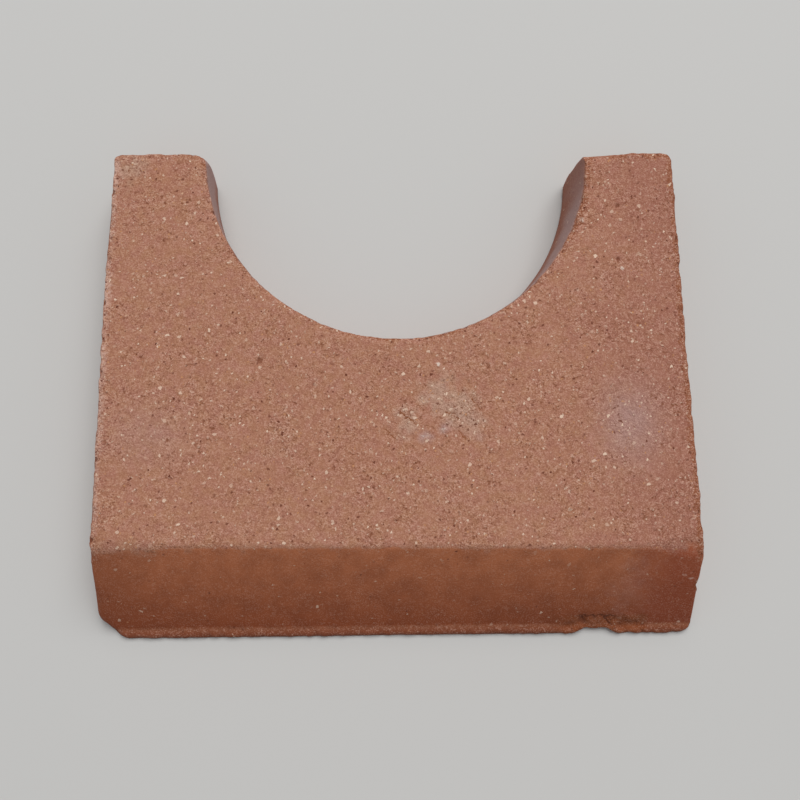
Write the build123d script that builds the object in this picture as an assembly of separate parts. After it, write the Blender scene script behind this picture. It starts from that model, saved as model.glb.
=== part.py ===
"""Fired-clay stove brick: a flat slab with a half-round notch at the rear and a bevelled front.

Millimetres, +Z up. The brick lies on its broad underside. +X runs along its length and +Y points
to the notched rear. The origin is the middle of the underside's bounding rectangle.

The body is what two shapes have in common: a drafted slab with the notch cut out of it, and the
brick's side section carried along the length.
"""
import os

from build123d import *

# Slab: a horn each side of the notch, a bridge in front of it, and draft on the ends and the notch wall
THICKNESS = 30.0
NOTCH_RADIUS = 75.75
NOTCH_DRAFT = 1.0
LEFT_HORN_WIDTH = 37.5
RIGHT_HORN_WIDTH = 34.0
HORN_TIP_ROUND = 5.0
BRIDGE_DEPTH = 77.75
END_DRAFT = 3.5
REAR_CORNER_ROUND = 3.0

# Side section: flat top, a soft ridge, the bevel, then a low lip along its foot
BEVEL_RUN = 31.0
RIDGE_ROUND = 3.5
LIP_TREAD = 1.5
LIP_NOSE_ROUND = 2.0
LIP_LAND = 0.6

# Wear: rubbed top edges, a worn and a broken foot corner, and a piece out of the lip
ARRIS_ROUND = 0.8
WORN_CORNER_ROUND = 4.0
BROKEN_CORNER_LENGTH = 8.0
BROKEN_CORNER_DEPTH = 7.5
LIP_BREAK_INSET = 35.5
LIP_BREAK_LENGTH = 15.0
LIP_BREAK_DEPTH = 2.0

TOP_LENGTH = LEFT_HORN_WIDTH + 2 * NOTCH_RADIUS + RIGHT_HORN_WIDTH
LENGTH = TOP_LENGTH + 2 * END_DRAFT
TOP_DEPTH = NOTCH_RADIUS + BRIDGE_DEPTH
DEPTH = TOP_DEPTH + BEVEL_RUN + LIP_TREAD + LIP_NOSE_ROUND
LIP_HEIGHT = LIP_LAND + LIP_NOSE_ROUND

RIGHT = LENGTH / 2
NOTCH_X = (LEFT_HORN_WIDTH - RIGHT_HORN_WIDTH) / 2
REAR = DEPTH / 2
FRONT = -DEPTH / 2
RIDGE = REAR - TOP_DEPTH
BEVEL_FOOT = RIDGE - BEVEL_RUN


def round_corner(slab, x, y, radius):
    """Round the upright corner of the slab that meets the underside nearest to a plan position."""
    upright_edges = slab.edges().filter_by(lambda edge: edge.bounding_box().size.Z > THICKNESS / 2)
    return fillet(upright_edges.sort_by_distance((x, y, 0))[0], radius)


def notched_slab():
    """A slab with drafted ends and a square front, less the notch, with its corners and top edges rounded."""
    end_view = Polyline(
        (-LENGTH / 2, 0),
        (LENGTH / 2, 0),
        (TOP_LENGTH / 2, THICKNESS),
        (-TOP_LENGTH / 2, THICKNESS),
        close=True,
    )
    slab = extrude(make_face(Plane.XZ * end_view), DEPTH / 2, both=True)
    base_radius = NOTCH_RADIUS - NOTCH_DRAFT
    standing = (Align.CENTER, Align.CENTER, Align.MIN)
    slab -= Pos(NOTCH_X, REAR) * Cone(base_radius, NOTCH_RADIUS, THICKNESS, align=standing)
    for side in (-1, 1):
        slab = round_corner(slab, NOTCH_X + side * base_radius, REAR, HORN_TIP_ROUND)
        slab = round_corner(slab, side * RIGHT, REAR, REAR_CORNER_ROUND)
    slab = round_corner(slab, RIGHT, FRONT, WORN_CORNER_ROUND)
    top_edges = slab.faces().sort_by(Axis.Z)[-1].edges()
    return fillet(top_edges, ARRIS_ROUND)


def corner_of(outline, x, y):
    """The vertex of an outline that lies nearest to a position in its plane."""
    return outline.vertices().sort_by_distance((x, y, 0))[0]


def side_section():
    """The brick cut across its length, drawn as (depth, height) with the rear to the right."""
    outline = make_face(
        Polyline(
            (REAR, 0),
            (REAR, THICKNESS),
            (RIDGE, THICKNESS),
            (BEVEL_FOOT, LIP_HEIGHT),
            (FRONT, LIP_HEIGHT),
            (FRONT, 0),
            close=True,
        )
    )
    outline = fillet(corner_of(outline, RIDGE, THICKNESS), RIDGE_ROUND)
    return fillet(corner_of(outline, FRONT, LIP_HEIGHT), LIP_NOSE_ROUND)


def broken_corner():
    """Plan of the corner that is broken off at the left of the foot."""
    return make_face(
        Polyline(
            (-RIGHT, FRONT),
            (-RIGHT + BROKEN_CORNER_LENGTH, FRONT),
            (-RIGHT, FRONT + BROKEN_CORNER_DEPTH),
            close=True,
        )
    )


def lip_break():
    """Plan of the shallow bite out of the lip, an arc across its chord on the front edge."""
    middle = RIGHT - LIP_BREAK_INSET
    left = (middle - LIP_BREAK_LENGTH / 2, FRONT)
    right = (middle + LIP_BREAK_LENGTH / 2, FRONT)
    deepest = (middle, FRONT + LIP_BREAK_DEPTH)
    return make_face([Line(left, right), ThreePointArc(left, deepest, right)])


def notched_brick():
    """The slab, cut to the side section, less what is broken off it."""
    lengthwise = extrude(Plane.YZ * side_section(), LENGTH / 2, both=True)
    broken_off = extrude(broken_corner(), THICKNESS) + extrude(lip_break(), THICKNESS)
    return (notched_slab() & lengthwise) - broken_off


os.makedirs("parts", exist_ok=True)
export_step(notched_brick(), "parts/notched_brick.step")
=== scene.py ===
"""A notched, bevelled fireclay brick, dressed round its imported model.

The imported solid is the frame. The brick's worn surface and its fired-clay finish are worked out here,
then a plain floor, soft light and the camera complete the scene.
"""
import itertools
import math

import bpy
import numpy as np
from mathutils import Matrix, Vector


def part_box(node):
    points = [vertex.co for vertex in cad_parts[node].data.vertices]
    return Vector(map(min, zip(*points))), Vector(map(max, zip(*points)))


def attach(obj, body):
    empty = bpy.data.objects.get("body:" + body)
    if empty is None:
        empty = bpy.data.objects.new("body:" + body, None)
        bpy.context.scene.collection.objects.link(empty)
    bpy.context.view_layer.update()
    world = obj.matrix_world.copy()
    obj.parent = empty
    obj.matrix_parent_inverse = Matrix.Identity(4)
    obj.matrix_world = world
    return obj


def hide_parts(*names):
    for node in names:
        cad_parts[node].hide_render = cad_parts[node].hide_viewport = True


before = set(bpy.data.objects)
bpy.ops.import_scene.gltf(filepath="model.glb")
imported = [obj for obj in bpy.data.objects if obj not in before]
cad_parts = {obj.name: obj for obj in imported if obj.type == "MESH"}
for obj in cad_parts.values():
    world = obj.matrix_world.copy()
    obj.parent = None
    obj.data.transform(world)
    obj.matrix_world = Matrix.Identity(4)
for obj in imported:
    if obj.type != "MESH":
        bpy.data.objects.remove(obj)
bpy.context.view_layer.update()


# The brick
# Fireclay with crushed grog, pressed in a steel mould and fired once. The mould gave the bevel, the ends
# and the notch a tight skin, while the top was struck off and is open, dusty and grainy.

# Sizes in millimetres, with the outer ones read from the solid that this surface stands for
MILLIMETRE = 0.001
solid_low, solid_high = (np.array(corner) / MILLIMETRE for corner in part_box("notched_brick"))
HALF_LENGTH = solid_high[0]
REAR = solid_high[1]
FRONT = solid_low[1]
THICKNESS = solid_high[2]
END_DRAFT = 3.5
NOTCH_X = 1.75
NOTCH_RADIUS = 75.75
NOTCH_DRAFT = 1.0
NOTCH_LEAN = 1.7
RIDGE = -59.5
RIDGE_SKEW = 1.3
BEVEL_FOOT = -90.5
LIP_HEIGHT = 2.6
LIP_NOSE_ROUND = 2.0

# Corners and edges: the radius, or for the blunt ridge how far below its sharp line the rounding starts
TIP_ROUND = 0.8
LEFT_TIP_TOP_ROUND = 6.0
LEFT_TIP_FOOT_ROUND = 3.0
RIGHT_TIP_TOP_ROUND = 2.0
RIGHT_TIP_FOOT_ROUND = 5.5
RIGHT_TIP_WEAR = 6.0
RIGHT_TIP_WEAR_START = (40.0, 60.0)
RIGHT_TIP_WEAR_END = (76.0, 106.0)
LEFT_REAR_ROUND = 3.0
RIGHT_REAR_ROUND = 3.6
ARRIS_ROUND = 0.8
BEVEL_END_ROUND = 2.6
BEVEL_END_START = (60.0, 80.0)
RIDGE_SOFTENING = 0.9
RIDGE_END_SOFTENING = 4.5
RIGHT_RIDGE_WEAR = (86.0, 114.0)
LEFT_RIDGE_WEAR = (80.0, 112.0)
LEFT_RIDGE_WEAR_SHARE = 0.45
FOOT_ROUND = 0.4
LIP_HOLLOW = 0.5

# Ends that aren't quite straight: a taper and a flare towards the rear, and a bulge near the ridge
LEFT_REAR_TAPER = 0.9
RIGHT_END_FLARE = 0.4
RIGHT_REAR_FLARE = 0.7
REAR_FLARE_START = 30.0
END_BULGE = 0.75
END_BULGE_PLACE = -65.0
END_BULGE_REACH = 7.0

# Damage: a worn right foot corner, a broken left one, a bite out of the lip and a chip at the right end
WORN_CORNER_ROUND = 5.5
BROKEN_CORNER_LENGTH = 9.5
BROKEN_CORNER_DEPTH = 9.0
BROKEN_CORNER_ROUND = 2.0
BITE_START = (66.5, 74.5)
BITE_END = (81.0, 88.0)
BITE_DEPTH = 2.5
END_CHIP = (116.5, -74.5, 17.0)
END_CHIP_RADIUS = 4.2
CHIP_ROUND = 0.3


def rounded_corner(first, second, radius):
    """Distance outside a corner of two faces.

    It is the larger of the two distances, but within the radius it is their sum as a circle.
    """
    arc = np.hypot(np.maximum(first + radius, 0), np.maximum(second + radius, 0))
    return np.minimum(np.maximum(first, second), -radius) + arc


def fade(values, low, high):
    """Smooth step from 0 at the low value to 1 at the high one."""
    part = np.clip((values - low) / (high - low), 0, 1)
    return part * part * (3 - 2 * part)


def notch_distance(points):
    """Distance into the notch: a cone that narrows and leans a little left towards the underside."""
    x, y, z = points.T
    depth = 1 - z / THICKNESS
    return NOTCH_RADIUS - NOTCH_DRAFT * depth - np.hypot(x - NOTCH_X + NOTCH_LEAN * depth, y - REAR)


def ridge_at(x):
    """Place in depth of the ridge's sharp line, which runs a little askew along the length."""
    return RIDGE - RIDGE_SKEW * x / HALF_LENGTH


def outline_distance(points):
    """Distance outside the ends, the rear and the notch, with the horns' tips sharpest half-way up."""
    x, y, z = points.T
    level = 2 * z / THICKNESS - 1
    top_round = np.where(x < 0, LEFT_TIP_TOP_ROUND, RIGHT_TIP_TOP_ROUND)
    foot_round = np.where(x < 0, LEFT_TIP_FOOT_ROUND, RIGHT_TIP_FOOT_ROUND)
    tip_round = TIP_ROUND + (np.where(level > 0, top_round, foot_round) - TIP_ROUND) * level ** 2
    outline = rounded_corner(y - REAR, notch_distance(points), tip_round)
    half_length = HALF_LENGTH - END_DRAFT * z / THICKNESS
    to_rear = fade(y, REAR_FLARE_START, REAR)
    left_end = -x - half_length + LEFT_REAR_TAPER * to_rear
    bulge = END_BULGE * np.exp(-((y - END_BULGE_PLACE) / END_BULGE_REACH) ** 2)
    flare = RIGHT_END_FLARE + RIGHT_REAR_FLARE * to_rear + bulge
    right_end = x - half_length - flare * z / THICKNESS
    outline = rounded_corner(outline, left_end, LEFT_REAR_ROUND)
    return rounded_corner(outline, right_end, RIGHT_REAR_ROUND)


def crown_distance(points):
    """Distance outside the top, the bevel and the lip: the lip joins the bevel in a small hollow."""
    x, y, z = points.T
    run = ridge_at(x) - BEVEL_FOOT
    drop = THICKNESS - LIP_HEIGHT
    bevel = ((ridge_at(x) - y) * drop + (z - THICKNESS) * run) / np.hypot(run, drop)
    lip = rounded_corner(z - LIP_HEIGHT, FRONT - y, LIP_NOSE_ROUND)
    front = -rounded_corner(-bevel, -lip, LIP_HOLLOW)
    left_wear = LEFT_RIDGE_WEAR_SHARE * fade(-x, *LEFT_RIDGE_WEAR)
    end_wear = np.maximum(fade(x, *RIGHT_RIDGE_WEAR), left_wear)
    softening = RIDGE_SOFTENING + (RIDGE_END_SOFTENING - RIDGE_SOFTENING) * end_wear
    return rounded_corner(z - THICKNESS, front, softening)


def corner_distance(points):
    """Distance past the plane of the broken left corner."""
    x, y, z = points.T
    inward = (HALF_LENGTH + x) / BROKEN_CORNER_LENGTH + (y - FRONT) / BROKEN_CORNER_DEPTH
    return (1 - inward) / math.hypot(1 / BROKEN_CORNER_LENGTH, 1 / BROKEN_CORNER_DEPTH)


def chipped_distance(points):
    """Distance into the flat-bottomed bite in the lip, and into the ball of a chip at the right end."""
    x, y, z = points.T
    bite = FRONT - y + BITE_DEPTH * fade(x, *BITE_START) * (1 - fade(x, *BITE_END))
    chip = END_CHIP_RADIUS - np.linalg.norm(points - END_CHIP, axis=1)
    return np.maximum(bite, chip)


def brick_distance(points):
    """Distance outside the brick: outline, crown and underside in rounded corners, less its damage."""
    x, y, z = points.T
    arris_round = ARRIS_ROUND + (BEVEL_END_ROUND - ARRIS_ROUND) * fade(-y, *BEVEL_END_START) * (x < 0)
    body = rounded_corner(outline_distance(points), crown_distance(points), arris_round)
    tip_wear = RIGHT_TIP_WEAR * fade(x, *RIGHT_TIP_WEAR_START) * (1 - fade(x, *RIGHT_TIP_WEAR_END))
    worn_tip = rounded_corner(y - REAR, z - THICKNESS, tip_wear)
    worn_corner = rounded_corner(x - HALF_LENGTH, FRONT - y, WORN_CORNER_ROUND)
    body = np.maximum(np.maximum(body, worn_tip), worn_corner)
    body = rounded_corner(body, corner_distance(points), BROKEN_CORNER_ROUND)
    body = rounded_corner(body, chipped_distance(points), CHIP_ROUND)
    return rounded_corner(body, -z, FOOT_ROUND)


def outward_slope(points, reach=0.02):
    """Gradient of the distance, from its change over a short reach each way along each axis."""
    steps = reach * np.eye(3)
    changes = [brick_distance(points + step) - brick_distance(points - step) for step in steps]
    return np.stack(changes, axis=1) / (2 * reach)


# Steps of the surface: stations round the U of the brick, and rows round each of its cross-sections. An
# end's rows turn into the bevel's over the blend, and the inset is that of the middle of the lip's nose.
END_STATIONS = 188
FRONT_STATIONS = 276
TIP_RINGS = 14
NOTCH_ROWS = 16
TOP_ROWS = 86
TOP_CROWDING = 0.3
OUTER_ROWS = 38
OUTER_CROWDING = 0.5
UNDER_ROWS = 4
END_BLEND = 40.0
NOSE_INSET = 0.6
SETTLING_STEPS = 5


def crowded_ends(count, crowding):
    """Steps from 0 up to but not 1, closer at both ends: a straight line less one wave of a sine."""
    even = np.arange(count) / count
    return even - crowding * np.sin(2 * math.pi * even) / (2 * math.pi)


def brick_grid():
    """Points on the brick's faces as stations by rows, with the two poles in the faces of the horns' tips.

    A ray from the middle of the notch marks each station, from the left horn round to the right one. Its
    loop goes up the notch wall, out along the top, down the end or the bevel, and back along the underside.
    Rings that shrink to a pole close the tip of each horn.
    """
    half_top = HALF_LENGTH - END_DRAFT
    station = np.arange(2 * END_STATIONS + FRONT_STATIONS + 1)
    turns = np.cumsum([0, END_STATIONS, FRONT_STATIONS, END_STATIONS])
    edge_x = np.interp(station, turns, [-half_top, -half_top, half_top, half_top])[:, None]
    straight_y = np.interp(station, turns, [REAR, RIDGE, RIDGE, REAR])[:, None]
    edge_y = np.interp(station, turns, [REAR, ridge_at(-half_top), ridge_at(half_top), REAR])[:, None]
    away = np.hypot(edge_x - NOTCH_X, edge_y - REAR)
    ray_x = (edge_x - NOTCH_X) / away
    ray_y = (edge_y - REAR) / away

    up = np.arange(NOTCH_ROWS)[None] / NOTCH_ROWS
    wall_radius = NOTCH_RADIUS - NOTCH_DRAFT * (1 - up)
    wall = np.stack(np.broadcast_arrays(
        NOTCH_X + ray_x * wall_radius, REAR + ray_y * wall_radius, THICKNESS * up), axis=2)

    out = NOTCH_RADIUS + (away - NOTCH_RADIUS) * crowded_ends(TOP_ROWS, TOP_CROWDING)[None]
    top = np.stack(np.broadcast_arrays(NOTCH_X + ray_x * out, REAR + ray_y * out, THICKNESS), axis=2)

    profile = np.array([
        (RIDGE, THICKNESS),
        (BEVEL_FOOT, LIP_HEIGHT),
        (FRONT + LIP_NOSE_ROUND, LIP_HEIGHT),
        (FRONT + NOSE_INSET, LIP_HEIGHT - NOSE_INSET),
        (FRONT, LIP_HEIGHT - LIP_NOSE_ROUND),
        (FRONT, 0),
    ])
    profile_y, profile_z = profile.T
    length = np.append(0, np.cumsum(np.hypot(np.diff(profile_y), np.diff(profile_z))))
    down = np.append(crowded_ends(OUTER_ROWS, OUTER_CROWDING), 1)[None]
    front_y = np.interp(down * length[-1], length, profile_y)
    front_z = np.interp(down * length[-1], length, profile_z)
    nearness = np.clip(1 - (straight_y - RIDGE) / END_BLEND, 0, 1)
    outer_z = nearness * front_z + (1 - nearness) * THICKNESS * (1 - down)
    outer_x = edge_x * (HALF_LENGTH - END_DRAFT * outer_z / THICKNESS) / half_top
    outer_y = REAR - (REAR - straight_y) * (REAR - front_y) / (REAR - RIDGE)
    outer_y = outer_y + (edge_y - straight_y) * (1 - down)
    outer = np.stack(np.broadcast_arrays(outer_x, outer_y, outer_z), axis=2)

    back = (np.arange(UNDER_ROWS) / UNDER_ROWS)[None, :, None]
    under = outer[:, -1:] + (wall[:, :1] - outer[:, -1:]) * back

    loops = np.concatenate([wall, top, outer[:, :-1], under], axis=1)
    left_pole = loops[0].min(0) / 2 + loops[0].max(0) / 2
    right_pole = loops[-1].min(0) / 2 + loops[-1].max(0) / 2
    spread = (np.arange(1, TIP_RINGS) / TIP_RINGS)[:, None, None]
    left_tip = left_pole + spread * (loops[:1] - left_pole)
    right_tip = right_pole + spread[::-1] * (loops[-1:] - right_pole)
    return np.concatenate([left_tip, loops, right_tip]), left_pole, right_pole


def closed_faces(stations, rows):
    """Squares between neighbours of a grid whose rows run round, and a fan to the pole at each end."""
    index = np.arange(stations * rows).reshape(stations, rows)
    turned = np.roll(index, -1, axis=1)
    squares = np.stack([index[:-1], turned[:-1], turned[1:], index[1:]], axis=2).reshape(-1, 4)
    first_pole = np.full(rows, stations * rows)
    left_fan = np.stack([first_pole, turned[0], index[0]], axis=1)
    right_fan = np.stack([first_pole + 1, index[-1], turned[-1]], axis=1)
    return squares.tolist() + left_fan.tolist() + right_fan.tolist()


grid, left_pole, right_pole = brick_grid()
surface = np.concatenate([grid.reshape(-1, 3), left_pole[None], right_pole[None]])
for settle in range(SETTLING_STEPS):
    slope = outward_slope(surface)
    surface = surface - (brick_distance(surface) / (slope ** 2).sum(axis=1))[:, None] * slope
slope = outward_slope(surface)
outward = slope / np.linalg.norm(slope, axis=1)[:, None]


# Patterns in millimetres. The last number given to a pattern is its draw, which tells it from the others.
CELL_FACTORS = np.array([73856093, 19349663, 83492791], np.uint32)
DRAW_FACTOR = 2654435761
FOLD_FACTOR = np.uint32(2246822519)
FOLDS = np.array([16, 13, 16], np.uint32)
LAST_FOLD = np.uint32(15)


def cell_random(cell, draw):
    """A repeatable number from 0 to 1 for each cell and draw: its bits, multiplied and folded."""
    bits = cell.astype(np.int64).astype(np.uint32)
    mixed = np.bitwise_xor.reduce(bits * CELL_FACTORS, axis=1)
    mixed = mixed ^ np.uint32((draw * DRAW_FACTOR) % 2 ** 32)
    for fold in FOLDS:
        mixed = (mixed ^ (mixed >> fold)) * FOLD_FACTOR
    return (mixed ^ (mixed >> LAST_FOLD)) / 2.0 ** 32


def waves(points, size, draw):
    """Smooth noise from -1 to 1: random values at the corners of cubes, blended across each cube."""
    cell = np.floor(points / size)
    part = points / size - cell
    blend = part * part * (3 - 2 * part)
    total = np.zeros(len(points))
    for corner in itertools.product((0, 1), repeat=3):
        share = np.where(corner, blend, 1 - blend).prod(axis=1)
        total += share * cell_random(cell + corner, draw)
    return 2 * total - 1


def grains(points, spacing, share, smallest, largest, draw):
    """Depth inside the nearest grain: balls of mixed size, one in each of a share of a lattice's cubes."""
    home = np.floor(points / spacing)
    depth = np.full(len(points), -spacing)
    for step in itertools.product((-1, 0, 1), repeat=3):
        cell = home + step
        centre = np.stack([cell_random(cell, draw + axis) for axis in range(3)], axis=1)
        radius = smallest + (largest - smallest) * cell_random(cell, draw + 3) ** 2
        inside = radius - np.linalg.norm((cell + centre) * spacing - points, axis=1)
        depth = np.where(cell_random(cell, draw + 4) < share, np.maximum(depth, inside), depth)
    return depth


# Faces and edges of the brick: each is 1 where the surface belongs to it, and fades to 0 beside it over a
# range of height, of length, of depth or of the gap to its own surface
TOP_EDGE_HEIGHTS = (20.0, 28.0)
LEFT_ARRIS_START = (90.0, 105.0)
LEFT_ARRIS_REAR = (90.0, 92.5)
BREAK_GAPS = (-0.8, -0.2)
BITE_LEFT = (64.0, 68.0)
BITE_RIGHT = (86.0, 90.0)
CHIP_LEFT = 100.0
LIP_START = (89.5, 91.0)
TREAD_START = (90.1, 90.6)
TREAD_END = (91.1, 91.8)
x, y, z = surface.T
below_ridge = ridge_at(x) - y
bevel_side = fade(below_ridge, -4, -2)
ridge_crumbs = 0.07 * waves(surface, 4, 104) + 0.07 * waves(surface, 1.6, 105)
ridge_crumbs = ridge_crumbs + 0.05 * fade(-x, 60, 105) - 0.06 * fade(x, 80, 105)
ridge_crumbs = ridge_crumbs * (1 - fade(below_ridge, 1.5, 6))
top_face = fade(outward[:, 2] + (ridge_crumbs - 0.36) * bevel_side, 0.4, 0.58) * fade(z, 15, 25)
open_face = top_face + fade(-outward[:, 2], 0.5, 0.9)
bevel_face = fade(-outward[:, 1], 0.2, 0.5) * fade(below_ridge, -2, 0)
notch_wall = fade(notch_distance(surface), -1.5, -0.4) * fade(-outward[:, 2], -0.6, -0.2)
arris_gap = np.maximum(-outline_distance(surface), -crown_distance(surface))
arris = np.exp(-(arris_gap / 1.6) ** 2) * fade(z, *TOP_EDGE_HEIGHTS)
bevel_end = np.exp(-(arris_gap / 1.3) ** 2) * bevel_face
left_arris = fade(-x, *LEFT_ARRIS_START) * (1 - fade(y, *LEFT_ARRIS_REAR))
upward = fade(outward[:, 2], 0.2, 0.5)
patchy = fade(waves(surface, 15, 1) + 0.4 * waves(surface, 5, 2), -0.5, 0.6)

# Marks of use, by their places in plan. Round ones are given as a centre and a reach, lines as two ends,
# and the spalled strip above the foot, the stains, the painted shade on the low bevel and its ends and the
# painted reflection on the notch walls as the ranges over which they fade in or out.
HOLLOWS = {
    (88.8, 71.0): 1.15,
    (87.7, 49.1): 1.1,
    (-51.2, 9.7): 1.6,
    (-110.6, 77.5): 1.6,
    (-112.0, 61.0): 1.3,
    (-112.3, 55.0): 1.3,
    (71.8, -89.0): 1.8,
}
CRACKS = (
    ((69.8, -86.8), (75.6, -86.9)),
    ((79.0, -86.7), (83.5, -87.1)),
    ((81.0, -88.0), (83.2, -90.6)),
    ((93.6, -89.8), (95.6, -92.6)),
)
SCRATCHES = (
    ((2.3, -10.7), (6.4, -14.0)),
    ((-3.6, -17.2), (-0.9, -19.7)),
    ((19.4, -10.8), (23.6, -13.1)),
    ((29.0, -5.9), (31.3, -9.3)),
    ((24.0, -18.3), (25.6, -20.0)),
)
WHITE_CHIPS = {
    (74.9, 65.4): 1.5,
    (68.4, 56.1): 1.4,
    (16.5, 7.8): 1.3,
    (102.9, 55.2): 0.9,
    (89.0, 45.5): 0.9,
}
SMUDGES = {
    (11.0, -20.2): 3.2,
    (18.1, -16.8): 3.6,
    (30.7, -19.8): 3.2,
}
CHALK_VEIL = {
    (18.0, -3.0): 11.0,
    (25.0, -9.0): 10.0,
    (5.0, -15.0): 7.0,
    (28.5, -14.0): 7.0,
}
CORNER_DUST = {(-104.0, 89.0): 9.0}
ROUGH_PATCH = {(-43.5, -20.0): 9.0}
BEVEL_BLOOM = {(88.0, -76.0): 14.0}
LEFT_CRUMBLE = {(-111.0, 55.0): 5.0}
RIGHT_HAZE = ((88.0, -15.0), (11.0, 14.0))
LEFT_HAZE = ((-92.0, -18.0), (14.0, 11.0))
LEFT_HAZE_SHARE = 0.35
END_RUB = ((106.2, -70.7), (113.5, -73.8))
SPALL_START = (58.0, 70.0)
SPALL_END = (95.5, 98.5)
SPALL_TOP = (86.3, 87.3)
ROSY_SIDE = (50.0, 112.0)
SCORCHED_SIDE = (82.0, 104.0)
# Ranges over which the painted shade on the low bevel and the bevel's ends fades in
LOW_BEVEL_SIDE = (20.0, 65.0)
LOW_BEVEL_DROP = (14.0, 28.0)
PAINTED_SHADE_LEFT_SIDE = (88.0, 108.0)
PAINTED_SHADE_RIGHT_SIDE = (85.0, 105.0)
PAINTED_SHADE_RIGHT_DROP = (8.0, 16.0)
# Heights over which the painted reflection on the notch walls fades in
REFLECTION_HEIGHTS = (4.0, 22.0)

# How ragged the marks are: for a spot's edge the coarse and fine size and the share of its noise, and for
# a line the size and share of its noise, its reach, the gap over which it fades, and the widest gap kept
SPOT_COARSE = 5.0
SPOT_FINE = 1.6
SPOT_RAGGED = 0.45
LINE_WANDER_SIZE = 2.5
LINE_WANDER = 0.35
LINE_REACH = 0.7
LINE_FADE = (0.8, 2.0)
LINE_SIDE_MOST = 4.0


def blot(centre, reach, draw):
    """A spot with a ragged edge: 1 at its centre and 0 past its reach, which a noise shifts to and fro."""
    away = np.hypot(x - centre[0], y - centre[1]) / reach
    coarse = SPOT_RAGGED * waves(surface, SPOT_COARSE, draw)
    fine = SPOT_RAGGED * waves(surface, SPOT_FINE, draw + 1)
    return fade(1 - away + coarse + fine, 0.0, 1.1)


def blots(spots, draw):
    """The strongest of several spots, from their centres and reaches, with two draws for each."""
    return np.max([blot(*spot, draw + 2 * number) for number, spot in enumerate(spots.items())], axis=0)


def haze_spot(centre, reach):
    """A soft spot: a bell curve of the way across and along from its centre, each over its own reach."""
    return np.exp(-((x - centre[0]) / reach[0]) ** 2 - ((y - centre[1]) / reach[1]) ** 2)


def line_gap(start, end):
    """Signed gap across the line through two places in plan, and the gap to its nearest point."""
    along = np.subtract(end, start)
    place = np.column_stack([x, y]) - start
    part = np.clip(place @ along / (along @ along), 0, 1)
    across = (place[:, 1] * along[0] - place[:, 0] * along[1]) / np.hypot(*along)
    return across, np.linalg.norm(place - part[:, None] * along, axis=1)


def ragged_line(start, end, draw):
    """A ragged line between two places in plan: a bell curve of the gap to it, which a noise shifts."""
    gap = line_gap(start, end)[1] + LINE_WANDER * waves(surface, LINE_WANDER_SIZE, draw)
    return np.exp(-(gap / LINE_REACH) ** 2)


def ragged_lines(lines, draw):
    """The strongest of several ragged lines, from their ends, with a draw for each."""
    return np.max([ragged_line(*ends, draw + number) for number, ends in enumerate(lines)], axis=0)


veil = blots(CHALK_VEIL, 140) * top_face
corner_dust = 0.8 * blots(CORNER_DUST, 102) * top_face
rough_patch = blots(ROUGH_PATCH, 150) * top_face
white_chip = blots(WHITE_CHIPS, 80) * top_face
smudge = blots(SMUDGES, 130) * top_face
streaks = waves(surface * [1, 1, 0.15], 4, 49)
# Painted reflection: cool lavender grey high on the notch walls, most on the left wall, less by the right
# tip
tip_clear = np.where(x > 0, 0.35 + 0.65 * fade(REAR - y, 4, 24), 1)
reflection_line = z + 6 * waves(surface, 14, 48) + 5 * streaks + 9 * fade(-x, -14, 14)
wall_reflection = notch_wall * tip_clear * fade(reflection_line, *REFLECTION_HEIGHTS)
haze = haze_spot(*RIGHT_HAZE) + LEFT_HAZE_SHARE * haze_spot(*LEFT_HAZE)
haze = haze * (0.9 + 0.25 * waves(surface, 4, 44)) * top_face
lavender = np.maximum(haze, 0.2 * blots(BEVEL_BLOOM, 46) * bevel_face)
lavender = np.max([lavender, 1.25 * wall_reflection, smudge], axis=0)
white_chip = np.maximum(white_chip, 0.4 * fade(smudge, 0.7, 1.0))
spall_line = -y + 0.8 * waves(surface, 5, 50)
spall = fade(x, *SPALL_START) * (1 - fade(x, *SPALL_END)) * fade(spall_line, *SPALL_TOP)
cracks = ragged_lines(CRACKS, 90) * bevel_face
scratches = ragged_lines(SCRATCHES, 110) * top_face
line_across, line_away = np.swapaxes([line_gap(*ends) for ends in CRACKS + SCRATCHES], 0, 1)
line_side = np.take_along_axis(line_across, line_away.argmin(axis=0)[None], axis=0)[0]
near_crack = 1 - fade(line_away[:len(CRACKS)].min(axis=0), *LINE_FADE)
near_scratch = 1 - fade(line_away[len(CRACKS):].min(axis=0), *LINE_FADE)
chipped = np.where(x > CHIP_LEFT, 1, fade(x, *BITE_LEFT) * (1 - fade(x, *BITE_RIGHT)))
chipped = chipped * fade(chipped_distance(surface), *BREAK_GAPS)
broken = np.max([spall, chipped, fade(corner_distance(surface), *BREAK_GAPS)], axis=0)
lip = fade(-y, *LIP_START) * fade(outward[:, 2], -0.2, 0.2)

# Relief: slow waves in the pressed faces, proud grains, pits, crumbled edges, cracks and scratches, with
# the most that they stand out or go in. A pit of the shaded depth is fully dark, and the sole stays flat.
PROUD_MOST = 0.22
PIT_MOST = 0.8
EDGE_PIT_MOST = 1.2
SHADED_DEPTH = 0.7
CRACK_DEPTH = 0.5
SCRATCH_DEPTH = 0.3
RELIEF_MOST = 0.25
SPALL_SWELL = 0.5
SOLE_FADE = (0.0, 1.2)
proud = np.clip(grains(surface, spacing=2.6, share=0.5, smallest=0.5, largest=1.1, draw=10), 0, None)
pit = np.clip(grains(surface, spacing=3.2, share=0.3, smallest=0.3, largest=0.9, draw=20), 0, None)
pit = pit * (0.15 + 0.85 * open_face * patchy)
for centre, radius in HOLLOWS.items():
    pit = np.maximum(pit, np.clip(radius - np.hypot(x - centre[0], y - centre[1]), 0, None) * upward)
edge_pit = np.clip(grains(surface, spacing=2.1, share=0.7, smallest=0.4, largest=1.5, draw=30), 0, None)
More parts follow.
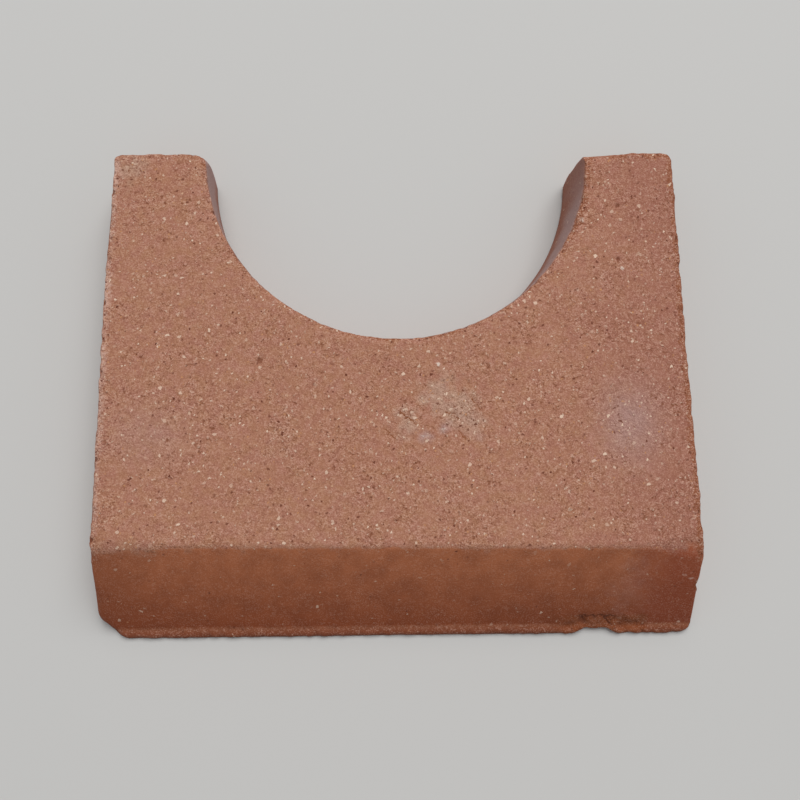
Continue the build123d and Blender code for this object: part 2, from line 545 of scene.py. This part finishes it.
edge_pit = edge_pit * np.maximum(arris, 0.4 * bevel_end)
broken_pit = np.clip(grains(surface, spacing=2.4, share=0.6, smallest=0.4, largest=1.3, draw=60), 0, None)
edge_pit = np.maximum(edge_pit, 0.8 * broken_pit * broken)

relief = 0.12 * waves(surface, 30, 3) + 0.05 * waves(surface, 9, 4)
relief += open_face * (0.05 * waves(surface, 2.2, 5) + np.minimum(proud, PROUD_MOST) * (0.3 + 0.7 * patchy))
relief -= np.minimum(pit, PIT_MOST) + np.minimum(edge_pit, EDGE_PIT_MOST)
relief -= arris * (0.25 + 0.4 * waves(surface, 7, 6) + 0.45 * waves(surface, 2.2, 7))
relief += broken * (0.6 * waves(surface, 3.5, 8) + 0.4 * waves(surface, 1.5, 9))
relief -= lip * (0.1 + 0.25 * waves(surface, 2.6, 61) + 0.2 * waves(surface, 1.3, 62))
relief -= CRACK_DEPTH * cracks + SCRATCH_DEPTH * scratches
highest = RELIEF_MOST + SPALL_SWELL * spall * bevel_face * (1 - lip)
relief = np.minimum(relief, highest) * fade(z, *SOLE_FADE)
surface = surface + relief[:, None] * outward

# Strength of each mark at each point of the surface, for the finish to read
right_edge = np.maximum(fade(x, 100, 108), fade(x, 60, 70) * fade(y, 50, 64))
edge_reach = 2.2 + 1.1 * right_edge + 1.0 * left_arris
edge = np.exp(-(arris_gap / edge_reach) ** 2) * fade(z, *TOP_EDGE_HEIGHTS) * fade(outward[:, 2], -0.1, 0.6)
ridge_rub = np.exp(-((below_ridge + 1.2) / 2.0) ** 2) * top_face * (0.4 + 0.6 * fade(-x, 40, 80))
ridge_rub = ridge_rub * fade(waves(surface, 8, 106), -0.6, 0.5)
crumbled_left = blots(LEFT_CRUMBLE, 107) * left_arris * upward
edge_crumbs = edge * (1 - left_arris) * (0.5 + 0.45 * right_edge + 0.35 * waves(surface, 6, 108))
left_rub = edge * left_arris * (0.75 + 0.3 * waves(surface, 9, 72)) * (1 - bevel_side) * (1 - crumbled_left)
# Painted shade: the bevel darkened low down, over its left end and low at its right end
low_bevel = fade(below_ridge, *LOW_BEVEL_DROP) * fade(x + 8 * waves(surface, 14, 73), *LOW_BEVEL_SIDE)
painted_shade_left = fade(-x + 4 * waves(surface, 9, 74), *PAINTED_SHADE_LEFT_SIDE)
painted_shade_right = fade(x + 4 * waves(surface, 9, 75), *PAINTED_SHADE_RIGHT_SIDE)
painted_shade_right = painted_shade_right * fade(below_ridge, *PAINTED_SHADE_RIGHT_DROP)
# Painted highlight: a pale band along the lip's tread, a little stronger at its right end
tread = fade(-y, *TREAD_START) * (1 - fade(-y, *TREAD_END)) * (1 - broken)
end_rub = 0.6 * ragged_line(*END_RUB, 115)
rough_spots = [0.8 * edge, 0.15 * ridge_rub, 0.4 * lip, 0.45 * broken, 0.4 * veil, rough_patch]
marks = {
    "open_face": open_face,
    "bevel": bevel_face,
    # painted shade: the bevel's colour darkens from the ridge down to its foot
    "foot": np.clip(below_ridge / (RIDGE - FRONT), 0, 1) * bevel_face,
    "scorched": fade(x + 4 * waves(surface, 9, 71), *SCORCHED_SIDE) * bevel_face,
    "painted_shade": np.max([low_bevel, painted_shade_left, 0.8 * painted_shade_right], axis=0) * bevel_face,
    "lip": lip,
    "lip_highlight": tread * (0.4 + 0.15 * fade(x, 97, 99)),
    "notch_wall": notch_wall,
    "rosy": fade(x + 12 * waves(surface, 25, 70), *ROSY_SIDE),
    "edge": np.max(rough_spots, axis=0),
    "rubbed": np.max([left_rub, 0.2 * ridge_rub, end_rub], axis=0),
    "crumbled": np.max([edge_crumbs, crumbled_left, 0.4 * rough_patch], axis=0),
    # painted shade in pits and hollows, darker the deeper they go
    "hollow": np.clip(np.maximum(pit, edge_pit * (1 - 0.5 * broken)) / SHADED_DEPTH, 0, 1),
    "line_side": np.clip(line_side, -LINE_SIDE_MOST, LINE_SIDE_MOST),
    "crack": near_crack * bevel_face,
    "scratch": near_scratch * top_face,
    "chalk": np.max([veil, corner_dust, 0.2 * rough_patch], axis=0),
    "white_chip": white_chip,
    "lavender": lavender,
    "broken": broken,
}
brick_mesh = bpy.data.meshes.new("notched_clay_brick")
brick_mesh.from_pydata((surface * MILLIMETRE).tolist(), [], closed_faces(*grid.shape[:2]))
brick_mesh.polygons.foreach_set("use_smooth", np.ones(len(brick_mesh.polygons), bool))
for name, values in marks.items():
    brick_mesh.attributes.new(name, "FLOAT", "POINT").data.foreach_set("value", values.astype(np.float32))
brick = bpy.data.objects.new("notched_clay_brick", brick_mesh)
bpy.context.scene.collection.objects.link(brick)


def linear(hex_colour):
    """Linear RGBA of an sRGB hex colour, by the sRGB curve."""
    parts = [int(hex_colour[place:place + 2], 16) / 255 for place in (1, 3, 5)]
    return [part / 12.92 if part <= 0.04045 else ((part + 0.055) / 1.055) ** 2.4 for part in parts] + [1]


def per_metre(size):
    """Scale of a pattern whose features are this many millimetres across."""
    return 1 / (size * MILLIMETRE)


def add_node(tree, kind, inputs, **settings):
    """Add a node with its settings, set or link each of its inputs, and give its outputs."""
    made = tree.nodes.new("ShaderNode" + kind)
    for name, value in settings.items():
        setattr(made, name, value)
    for socket, value in inputs.items():
        if isinstance(value, bpy.types.NodeSocket):
            tree.links.new(value, made.inputs[socket])
        else:
            made.inputs[socket].default_value = value
    return made.outputs


# Fired fireclay: matt and dry, with pale grog and dark grains through it. The open top scatters more light
# and looks paler, and its colours also carry a painted sheen; the moulded skin is denser and redder, and
# crumbled edges show the raw brown body.
# Colours of the open top, paler and greyer partly by a painted sheen
TOP_ROSE = "#A8735F"
TOP_OCHRE = "#A9775C"
TOP_RED = "#976152"
END_SKIN = "#9A5F47"
# The bevel's skin goes from its colour at the ridge to a darker one at its foot, which is painted shade
SKIN_AT_RIDGE = "#B9704B"
SHADED_SKIN_AT_FOOT = "#884224"
# A darker skin colour, for the bevel's mottled clouds and for its painted shade
SKIN_SHADE = "#6F3620"
SCORCHED_SKIN = "#95492F"
# The lip's skin colour, painted darker with shade as the bevel darkens towards its foot
SHADED_LIP_SKIN = "#7C432B"
NOTCH_SKIN = "#94604E"
PALE_GRIT = "#D8B09C"
DARK_GRIT = "#74402D"
PALE_GROG = "#DDBFA8"
OCHRE_GROG = "#BE8760"
# Dark specks of the clay, also painted as the shade in the mouths of small pits
DARK_GRAIN_AND_PIT_SHADE = "#6B3826"
PAINTED_PIT_SHADE = "#74402B"
CRACK_SHADE = "#552A1A"
SCRATCH_SHADE = "#87502F"
CREVICE_SHADE = "#7E4A31"
RAW_BODY = "#8E5232"
BROKEN_BODY = "#844728"
RUBBED_CLAY = "#CFAA9A"
# A pale colour for the painted highlight along the lip's tread
LIP_HIGHLIGHT = "#A87356"
CHALK = "#B69F8C"
WHITE_CHIP = "#DCCDBF"
# A lavender grey for haze, smudges and bloom, and for the painted reflection on the notch walls
LAVENDER_BLOOM_AND_REFLECTION = "#AB928F"
GRIT_SIZE = 0.48
CRUMB_SIZE = 1.1
FINE_GROG_SIZE = 0.65
COARSE_GROG_SIZE = 1.1
GRAIN_SIZE = 0.7
RAGGED_SIZE = 0.7
RAGGED_REACH = 0.6
EDGE_CRUMB_SIZE = 1.5
CREVICE_SIZE = 2.4
PATCH_SIZE = 9.0
DRIFT_SIZE = 5.0
CLOUD_SIZE = 8.0
GRIT_DEPTH = 0.15
GRIT_STRENGTH = 0.7
CLAY_ROUGHNESS = 0.88
CLAY_SPECULAR = 0.2

fired_clay = bpy.data.materials.new("fired_fireclay")
fired_clay.use_nodes = True
tree = fired_clay.node_tree
tree.nodes.clear()
place = add_node(tree, "TexCoord", {})["Object"]
mark = {name: add_node(tree, "Attribute", {}, attribute_name=name)["Fac"] for name in marks}

# Patterns: slow drift of tone, clouds for the bevel, patches of rough and smooth, fine grit, and crumbs
drift = add_node(tree, "TexNoise", {"Vector": place, "Scale": per_metre(DRIFT_SIZE), "Detail": 3})["Fac"]
cloud = add_node(tree, "TexNoise", {"Vector": place, "Scale": per_metre(CLOUD_SIZE), "Detail": 4})["Fac"]
patch = add_node(tree, "TexNoise", {"Vector": place, "Scale": per_metre(PATCH_SIZE), "Detail": 2})["Fac"]
grit = add_node(tree, "TexNoise", {"Vector": place, "Scale": per_metre(GRIT_SIZE), "Detail": 2})["Fac"]
edge_crumb_scale = per_metre(EDGE_CRUMB_SIZE)
edge_crumb = add_node(tree, "TexNoise", {"Vector": place, "Scale": edge_crumb_scale, "Detail": 3})["Fac"]
wander = add_node(tree, "TexNoise", {"Vector": place, "Scale": per_metre(RAGGED_SIZE)})["Color"]
reach = [RAGGED_REACH * MILLIMETRE] * 3
ragged = add_node(tree, "VectorMath", {0: wander, 1: reach, 2: place}, operation="MULTIPLY_ADD")["Vector"]
crumb = add_node(tree, "TexVoronoi", {"Vector": ragged, "Scale": per_metre(CRUMB_SIZE)})["Color"]

# How rough the face is here, and from it the lighter and darker share of the grit and the crumbs
face_rough = add_node(tree, "MapRange", {"Value": mark["open_face"], "To Min": 0.5, "To Max": 1.08})[0]
patch_bounds = {"Value": patch, "From Min": 0.3, "From Max": 0.7, "To Min": 0.7, "To Max": 1.3}
patch_rough = add_node(tree, "MapRange", patch_bounds)[0]
field_rough = add_node(tree, "Math", {0: face_rough, 1: patch_rough}, operation="MULTIPLY")[0]
rough = add_node(tree, "Math", {0: mark["edge"], 1: 0.8, 2: field_rough}, operation="MULTIPLY_ADD")[0]
crumb_pick = add_node(tree, "SeparateColor", {"Color": crumb})[0]
crumb_tone = add_node(tree, "MapRange", {"Value": crumb_pick, "To Min": -0.12, "To Max": 0.12})[0]
grit_bounds = {"Value": grit, "From Min": 0.25, "From Max": 0.75, "To Min": -0.45, "To Max": 0.45}
grit_tone = add_node(tree, "MapRange", grit_bounds)[0]
tone = add_node(tree, "Math", {0: crumb_tone, 1: grit_tone}, operation="ADD")[0]
paler = add_node(tree, "Math", {0: tone, 1: rough}, operation="MULTIPLY", use_clamp=True)[0]
minus_rough = add_node(tree, "Math", {0: rough, 1: -1.0}, operation="MULTIPLY")[0]
darker = add_node(tree, "Math", {0: tone, 1: minus_rough}, operation="MULTIPLY", use_clamp=True)[0]

# Crevices between the grains of the open top: short stretches of a noise's middle contour, painted darker
# with the shade in them
crevice_scale = per_metre(CREVICE_SIZE)
contour = add_node(tree, "TexNoise", {"Vector": ragged, "Scale": crevice_scale, "Detail": 1})["Fac"]
contour_gap = add_node(tree, "Math", {0: contour, 1: 0.5}, operation="SUBTRACT")[0]
contour_gap = add_node(tree, "Math", {0: contour_gap}, operation="ABSOLUTE")[0]
crevice_bounds = {"Value": contour_gap, "From Min": 0.03, "From Max": 0.08, "To Min": 0.85, "To Max": 0.0}
crevice = add_node(tree, "MapRange", crevice_bounds)[0]
stretch = add_node(tree, "MapRange", {"Value": edge_crumb, "From Min": 0.53, "From Max": 0.63})[0]
cluster = add_node(tree, "MapRange", {"Value": patch, "From Min": 0.4, "From Max": 0.6, "To Min": 0.2})[0]
for share in (stretch, cluster, mark["open_face"]):
    crevice = add_node(tree, "Math", {0: crevice, 1: share}, operation="MULTIPLY")[0]

# Grog and dark grains: angular cells of a random pattern, of which a small share is picked out. Each has
# its size, its share on the open top, the mark with more of it, how much more, and its strength on skin.
SPECKS = (
    ("fine grog", FINE_GROG_SIZE, 0.04, "chalk", 0.06, 0.5),
    ("coarse grog", COARSE_GROG_SIZE, 0.012, "chalk", 0.02, 0.75),
    ("grain", GRAIN_SIZE, 0.02, "edge", 0.08, 0.8),
)
specks = {}
kinds = {}
for name, size, picked, richer, gain, on_skin in SPECKS:
    cells = add_node(tree, "TexVoronoi", {"Vector": ragged, "Scale": per_metre(size)})
    pick = add_node(tree, "SeparateColor", {"Color": cells["Color"]})
    levels = {"Value": mark["open_face"], "To Min": 1 - 0.2 * picked, "To Max": 1 - picked}
    level = add_node(tree, "MapRange", levels)[0]
    level = add_node(tree, "Math", {0: mark[richer], 1: -gain, 2: level}, operation="MULTIPLY_ADD")[0]
    shown = add_node(tree, "Math", {0: pick[0], 1: level}, operation="GREATER_THAN")[0]
    bare = add_node(tree, "MapRange", {"Value": mark["open_face"], "To Min": on_skin})[0]
    vivid = add_node(tree, "Math", {0: pick[1], 1: 1.7}, operation="POWER")[0]
    vivid = add_node(tree, "Math", {0: vivid, 1: bare}, operation="MULTIPLY")[0]
    specks[name] = add_node(tree, "Math", {0: shown, 1: vivid}, operation="MULTIPLY")[0]
    kinds[name] = pick[2]

# Worn edges, chips and the painted shade in hollows: ragged crumbs, where a noise lifts the mark over a
# level. Each has the level where it starts, the level where it is full, and the most that it covers.
WEAR = (
    ("crumbled", 0.4, 0.65, 0.7),
    ("rubbed", 0.3, 0.8, 0.75),
    ("white_chip", 0.3, 0.6, 0.85),
    ("hollow", 0.3, 0.6, 0.7),
)
crumb_bounds = {"Value": edge_crumb, "From Min": 0.3, "From Max": 0.7, "To Min": 0.2, "To Max": 1.8}
crumb_lift = add_node(tree, "MapRange", crumb_bounds)[0]
worn = {}
for name, low, high, most in WEAR:
    lifted = add_node(tree, "Math", {0: crumb_lift, 1: mark[name]}, operation="MULTIPLY")[0]
    worn_bounds = {"Value": lifted, "From Min": low, "From Max": high, "To Max": most}
    worn[name] = add_node(tree, "MapRange", worn_bounds)[0]

# Cracks and scratches: thin ragged lines, where the gap to the line is small after a noise shifts it.
# The cracks are painted dark with the shade inside them.
line_bounds = {"Value": edge_crumb, "From Min": 0.3, "From Max": 0.7, "To Min": -0.5, "To Max": 0.5}
line_shift = add_node(tree, "MapRange", line_bounds)[0]
off_line = add_node(tree, "Math", {0: mark["line_side"], 1: line_shift}, operation="ADD")[0]
off_line = add_node(tree, "Math", {0: off_line}, operation="ABSOLUTE")[0]
thin_bounds = {"Value": off_line, "From Min": 0.15, "From Max": 0.45, "To Min": 1.0, "To Max": 0.0}
thin_line = add_node(tree, "MapRange", thin_bounds)[0]
break_bounds = {"Value": drift, "From Min": 0.4, "From Max": 0.6, "To Min": 0.3, "To Max": 0.9}
broken_line = add_node(tree, "MapRange", break_bounds)[0]
crack_line = add_node(tree, "Math", {0: thin_line, 1: broken_line}, operation="MULTIPLY")[0]
worn["crack"] = add_node(tree, "Math", {0: crack_line, 1: mark["crack"]}, operation="MULTIPLY")[0]
worn["scratch"] = add_node(tree, "Math", {0: thin_line, 1: mark["scratch"]}, operation="MULTIPLY")[0]

# Tints: the most that each soft mark covers the colour under it
TINTS = {"rosy": 0.6, "scorched": 0.8, "painted_shade": 0.3, "lavender": 0.55, "chalk": 0.45}
tint = {}
for name, most in TINTS.items():
    tint[name] = add_node(tree, "Math", {0: mark[name], 1: most}, operation="MULTIPLY")[0]

# Coats of colour, from the body of the clay out to the marks of use, with painted shade on the low bevel,
# the lip, pits, crevices and cracks and partly in dark grains, a painted highlight along the lip's tread, a
# painted reflection on the notch walls and a painted sheen in the top's colours. Inputs 6 and 7 of a colour
# mix are the colour under it and the one that covers it, and its output 2 is the result.
drift_share = add_node(tree, "MapRange", {"Value": drift, "From Min": 0.35, "From Max": 0.65})[0]
top_colours = {0: drift_share, 6: linear(TOP_ROSE), 7: linear(TOP_OCHRE)}
top_colour = add_node(tree, "Mix", top_colours, data_type="RGBA")[2]
rosy_colours = {0: tint["rosy"], 6: top_colour, 7: linear(TOP_RED)}
top_colour = add_node(tree, "Mix", rosy_colours, data_type="RGBA")[2]
ochre_share = add_node(tree, "MapRange", {"Value": kinds["fine grog"], "From Min": 0.6, "From Max": 0.7})[0]
grog_colours = {0: ochre_share, 6: linear(PALE_GROG), 7: linear(OCHRE_GROG)}
grog_colour = add_node(tree, "Mix", grog_colours, data_type="RGBA")[2]
cloud_bounds = {"Value": cloud, "From Min": 0.4, "From Max": 0.7, "To Max": 0.32}
cloud_share = add_node(tree, "MapRange", cloud_bounds)[0]
cloud_share = add_node(tree, "Math", {0: cloud_share, 1: mark["bevel"]}, operation="MULTIPLY")[0]
lip_highlight_share = add_node(tree, "Math", {0: mark["lip_highlight"], 1: edge_crumb}, operation="MULTIPLY")[0]
colour = linear(END_SKIN)
coats = [
    (linear(SKIN_AT_RIDGE), mark["bevel"]),
    (linear(SHADED_SKIN_AT_FOOT), mark["foot"]),
    (linear(SKIN_SHADE), cloud_share),
    (linear(SCORCHED_SKIN), tint["scorched"]),
    (linear(SKIN_SHADE), tint["painted_shade"]),
    (linear(SHADED_LIP_SKIN), mark["lip"]),
    (linear(LIP_HIGHLIGHT), lip_highlight_share),
    (linear(NOTCH_SKIN), mark["notch_wall"]),
    (top_colour, mark["open_face"]),
    (linear(BROKEN_BODY), mark["broken"]),
    (linear(CHALK), tint["chalk"]),
    (linear(LAVENDER_BLOOM_AND_REFLECTION), tint["lavender"]),
    (linear(WHITE_CHIP), worn["white_chip"]),
    (linear(RAW_BODY), worn["crumbled"]),
    (linear(SCRATCH_SHADE), worn["scratch"]),
    (linear(RUBBED_CLAY), worn["rubbed"]),
    (linear(PALE_GRIT), paler),
    (linear(DARK_GRIT), darker),
    (linear(CREVICE_SHADE), crevice),
    (grog_colour, specks["fine grog"]),
    (linear(PALE_GROG), specks["coarse grog"]),
    (linear(DARK_GRAIN_AND_PIT_SHADE), specks["grain"]),
    (linear(PAINTED_PIT_SHADE), worn["hollow"]),
    (linear(CRACK_SHADE), worn["crack"]),
]
for coat, share in coats:
    colour = add_node(tree, "Mix", {0: share, 6: colour, 7: coat}, data_type="RGBA")[2]

# The grit and the grog stand a little proud, crevices go in, and dark grains are mouths of small pits,
# dark partly as the clay's own specks and partly with painted shade
STANDING = {"fine grog": 1.6, "coarse grog": 2.0, "grain": -1.6}
height = add_node(tree, "Math", {0: tone, 1: rough}, operation="MULTIPLY")[0]
height = add_node(tree, "Math", {0: height, 1: crevice}, operation="SUBTRACT")[0]
for name, times in STANDING.items():
    height = add_node(tree, "Math", {0: specks[name], 1: times, 2: height}, operation="MULTIPLY_ADD")[0]
grit_relief = {"Strength": GRIT_STRENGTH, "Distance": GRIT_DEPTH * MILLIMETRE, "Height": height}
bump = add_node(tree, "Bump", grit_relief)["Normal"]
finish = {
    "Base Color": colour,
    "Roughness": CLAY_ROUGHNESS,
    "Specular IOR Level": CLAY_SPECULAR,
    "Normal": bump,
}
clay = add_node(tree, "BsdfPrincipled", finish)["BSDF"]
add_node(tree, "OutputMaterial", {"Surface": clay})
brick_mesh.materials.append(fired_clay)

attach(brick, "root")
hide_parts("notched_brick")


# The floor
# A plain pale grey round sheet under the brick, far wider than the view, with a matt finish.
FLOOR_RADIUS = 5.0
FLOOR_CORNERS = 96
FLOOR_GREY = "#C4C3C0"
FLOOR_ROUGHNESS = 0.85
floor_mesh = bpy.data.meshes.new("floor")
turn = 2 * math.pi * np.arange(FLOOR_CORNERS) / FLOOR_CORNERS
floor_rim = np.column_stack([FLOOR_RADIUS * np.cos(turn), FLOOR_RADIUS * np.sin(turn), 0 * turn])
floor_mesh.from_pydata(floor_rim.tolist(), [], [tuple(range(FLOOR_CORNERS))])
floor = bpy.data.objects.new("floor", floor_mesh)
bpy.context.scene.collection.objects.link(floor)
matt_board = bpy.data.materials.new("matt_grey_board")
matt_board.use_nodes = True
board = matt_board.node_tree.nodes["Principled BSDF"]
board.inputs["Base Color"].default_value = linear(FLOOR_GREY)
board.inputs["Roughness"].default_value = FLOOR_ROUGHNESS
floor_mesh.materials.append(matt_board)


# The light
# An even pale sky, and one broad soft lamp high behind the brick and a little to its right, so that the top
# is brightest and the bevel and the notch's right wall fall into half shade.
SKY_COLOUR = "#FAFBFF"
SKY_STRENGTH = 0.345
LAMP_PLACE = (0.75, 2.85, 4.5)
LAMP_SIDE = 4.2
LAMP_POWER = 265.5
world = bpy.data.worlds.new("studio")
bpy.context.scene.world = world
world.use_nodes = True
sky = world.node_tree.nodes["Background"]
sky.inputs["Color"].default_value = linear(SKY_COLOUR)
sky.inputs["Strength"].default_value = SKY_STRENGTH
lamp_light = bpy.data.lights.new("soft_lamp", "AREA")
lamp_light.size = LAMP_SIDE
lamp_light.energy = LAMP_POWER
lamp = bpy.data.objects.new("soft_lamp", lamp_light)
lamp.location = LAMP_PLACE
lamp_tilt = math.atan2(math.hypot(*LAMP_PLACE[:2]), LAMP_PLACE[2])
lamp.rotation_euler = (-lamp_tilt, 0, -math.atan2(LAMP_PLACE[0], LAMP_PLACE[1]))
bpy.context.scene.collection.objects.link(lamp)


# The camera
# It looks almost straight down from in front of the brick, and its shift stands for the photograph's crop.
SENSOR_WIDTH = 36.0
FOCAL_LENGTH = 36.63
LENS_SHIFT = (0.03, -0.0575)
CAMERA_PLACE = (-0.01166, -0.04975, 0.33275)
CAMERA_DEGREES = (11.506, -0.732, -0.563)
camera_lens = bpy.data.cameras.new("camera")
camera_lens.sensor_width = SENSOR_WIDTH
camera_lens.lens = FOCAL_LENGTH
camera_lens.shift_x, camera_lens.shift_y = LENS_SHIFT
camera = bpy.data.objects.new("camera", camera_lens)
camera.location = CAMERA_PLACE
camera.rotation_euler = [math.radians(angle) for angle in CAMERA_DEGREES]
bpy.context.scene.collection.objects.link(camera)
bpy.context.scene.camera = camera
bpy.context.scene.view_settings.view_transform = "Standard"
